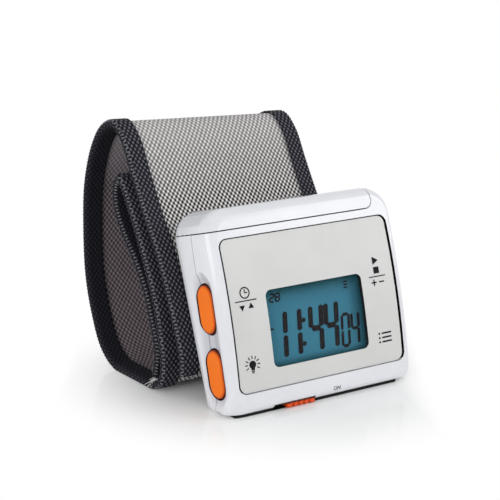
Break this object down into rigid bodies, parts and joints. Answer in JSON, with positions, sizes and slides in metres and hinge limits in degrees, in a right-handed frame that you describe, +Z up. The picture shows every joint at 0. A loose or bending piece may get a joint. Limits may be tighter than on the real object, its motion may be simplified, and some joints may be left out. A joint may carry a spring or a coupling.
{
  "type": "vibrating alarm clock",
  "caption": "Wrist-worn vibrating alarm clock: leaning moulded case with a digital display, side push buttons, sliding battery door and a closed mesh strap loop.",
  "frame": {"origin": "middle of the footprint, on the surface that the clock stands on", "axes": "+X to the right of the display as its reader sees it, +Y away from the reader, +Z up"},
  "size_m": [0.0636, 0.064, 0.0673],
  "materials": {
    "case_plastic": "glossy white moulding",
    "plate": "satin warm grey",
    "lens": "clear polished",
    "lcd": "blue display glass",
    "light_guide": "milky",
    "connector_rubber": "matt",
    "board": "solder resist",
    "button_plastic": "satin orange",
    "steel": "bright nickel",
    "cell": "wrapped can",
    "weight_metal": "sintered grey",
    "dark_plastic": "matt black",
    "plunger_plastic": "ivory",
    "strap_weave": "open mesh weave",
    "strap_tape": "ribbed binding tape",
    "fastening": "hook and loop"
  },
  "bodies": {
    "case": {"front_housing": "case_plastic", "back_housing": "case_plastic", "face_plate": "plate", "window_lens": "lens", "lcd_panel": "lcd", "lcd_backlight": "light_guide", "lcd_connector": "connector_rubber", "circuit_board": "board", "slide_switch": "steel", "battery_cell": "cell", "contact_plate": "steel", "contact_leaf": "steel", "motor_can": "steel", "strap_keeper": "dark_plastic", "strap_band": "strap_weave", "strap_binding_left": "strap_tape", "strap_binding_right": "strap_tape", "strap_loop_patch": "fastening", "strap_hook_patch": "fastening", "push_switch_left_upper": "dark_plastic", "push_switch_left_lower": "dark_plastic", "push_switch_right_upper": "dark_plastic", "push_switch_right_lower": "dark_plastic"},
    "door": {"battery_door": "case_plastic"},
    "switch_knob": {"slide_knob": "button_plastic"},
    "rotor": {"motor_shaft": "steel", "motor_weight": "weight_metal"},
    "press_left_upper": {"button_left_upper": "button_plastic"},
    "stem_left_upper": {"plunger_left_upper": "plunger_plastic"},
    "press_left_lower": {"button_left_lower": "button_plastic"},
    "stem_left_lower": {"plunger_left_lower": "plunger_plastic"},
    "press_right_upper": {"button_right_upper": "button_plastic"},
    "stem_right_upper": {"plunger_right_upper": "plunger_plastic"},
    "press_right_lower": {"button_right_lower": "button_plastic"},
    "stem_right_lower": {"plunger_right_lower": "plunger_plastic"}
  },
  "joints": [
    {"name": "door_slide", "type": "slide", "parent": "case", "child": "door", "axis": [-1, 0, 0], "range_m": [0, 0.055]},
    {"name": "switch_slide", "type": "slide", "parent": "case", "child": "switch_knob", "axis": [-1, 0, 0], "range_m": [0, 0.0036]},
    {"name": "rotor_spin", "type": "hinge", "parent": "case", "child": "rotor", "pos_m": [0.01425, -0.01942, 0.01195], "axis": [1, 0, 0], "continuous": true},
    {"name": "press_left_upper", "type": "slide", "parent": "case", "child": "press_left_upper", "axis": [1, 0, 0], "range_m": [0, 0.0006], "stiffness_N_per_m": 1500},
    {"name": "stem_left_upper", "type": "slide", "parent": "case", "child": "stem_left_upper", "axis": [1, 0, 0], "range_m": [0, 0.0006]},
    {"name": "press_left_lower", "type": "slide", "parent": "case", "child": "press_left_lower", "axis": [1, 0, 0], "range_m": [0, 0.0006], "stiffness_N_per_m": 1500},
    {"name": "stem_left_lower", "type": "slide", "parent": "case", "child": "stem_left_lower", "axis": [1, 0, 0], "range_m": [0, 0.0006]},
    {"name": "press_right_upper", "type": "slide", "parent": "case", "child": "press_right_upper", "axis": [-1, 0, 0], "range_m": [0, 0.0006], "stiffness_N_per_m": 1500},
    {"name": "stem_right_upper", "type": "slide", "parent": "case", "child": "stem_right_upper", "axis": [-1, 0, 0], "range_m": [0, 0.0006]},
    {"name": "press_right_lower", "type": "slide", "parent": "case", "child": "press_right_lower", "axis": [-1, 0, 0], "range_m": [0, 0.0006], "stiffness_N_per_m": 1500},
    {"name": "stem_right_lower", "type": "slide", "parent": "case", "child": "stem_right_lower", "axis": [-1, 0, 0], "range_m": [0, 0.0006]}
  ],
  "couplings": [
    {"joint": "stem_left_upper", "follows": "press_left_upper", "ratio": 1},
    {"joint": "stem_left_lower", "follows": "press_left_lower", "ratio": 1},
    {"joint": "stem_right_upper", "follows": "press_right_upper", "ratio": 1},
    {"joint": "stem_right_lower", "follows": "press_right_lower", "ratio": 1}
  ]
}
